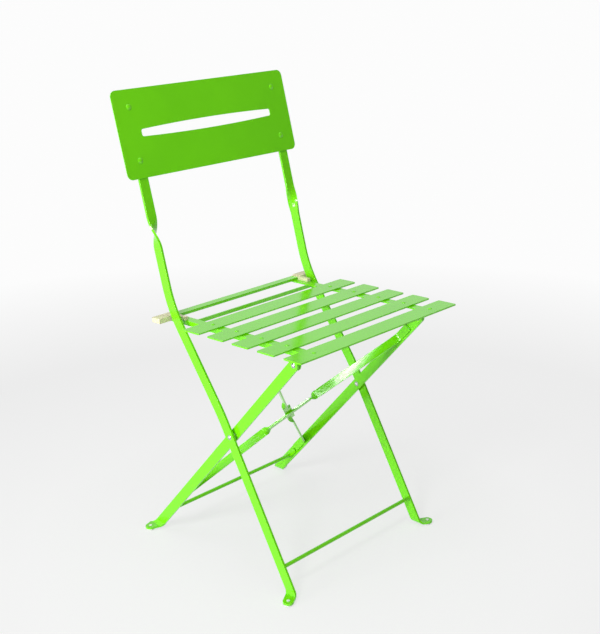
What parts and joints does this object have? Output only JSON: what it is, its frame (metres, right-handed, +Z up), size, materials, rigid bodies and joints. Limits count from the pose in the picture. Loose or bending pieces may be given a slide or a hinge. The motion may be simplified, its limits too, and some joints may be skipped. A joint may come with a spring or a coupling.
{
  "type": "folding chair",
  "caption": "Folding steel bistro chair: crossing flat-bar frames, thin slotted backrest panel and a slatted seat that folds up between them.",
  "frame": {"origin": "middle of the footprint on the floor, chair open", "axes": "+Z up, -Y the side a sitter faces, +X to the right seen from the front"},
  "size_m": [0.406, 0.4322, 0.8241],
  "materials": {
    "powder_coat": "gloss lime green powder coat",
    "rivet_steel": "bright zinc plated",
    "white_plastic": "white moulded",
    "cream_plastic": "cream moulded"
  },
  "bodies": {
    "back_frame": {"left_upright": "powder_coat", "right_upright": "powder_coat", "backrest_panel": "powder_coat", "backrest_rivets": "powder_coat", "front_stretcher": "powder_coat", "left_front_foot_plug": "white_plastic", "right_front_foot_plug": "white_plastic", "left_crossing_rivet": "rivet_steel", "right_crossing_rivet": "rivet_steel", "left_crossing_washer": "rivet_steel", "right_crossing_washer": "rivet_steel"},
    "leg_frame": {"left_rear_leg": "powder_coat", "right_rear_leg": "powder_coat", "rear_stretcher": "powder_coat", "lower_brace": "powder_coat", "upper_brace": "powder_coat", "left_rear_foot_plug": "white_plastic", "right_rear_foot_plug": "white_plastic", "left_seat_pivot_rivet": "rivet_steel", "right_seat_pivot_rivet": "rivet_steel", "left_seat_pivot_washer": "rivet_steel", "right_seat_pivot_washer": "rivet_steel"},
    "seat": {"seat_slat_1": "powder_coat", "seat_slat_2": "powder_coat", "seat_slat_3": "powder_coat", "seat_slat_4": "powder_coat", "seat_slat_5": "powder_coat", "left_seat_rail": "powder_coat", "right_seat_rail": "powder_coat", "seat_rivets": "powder_coat", "rear_crossbar": "powder_coat", "seat_tie_bar": "powder_coat", "left_glide": "cream_plastic", "right_glide": "cream_plastic"}
  },
  "joints": [
    {"name": "leg_fold", "type": "hinge", "parent": "back_frame", "child": "leg_frame", "pos_m": [0, -0.01943, 0.2545], "axis": [-1, 0, 0], "range_deg": [0, 69]},
    {"name": "seat_fold", "type": "hinge", "parent": "leg_frame", "child": "seat", "pos_m": [0, -0.16494, 0.4199], "axis": [1, 0, 0], "range_deg": [0, 132.48]}
  ],
  "couplings": [
    {"joint": "seat_fold", "follows": "leg_fold", "ratio": 1.92}
  ]
}
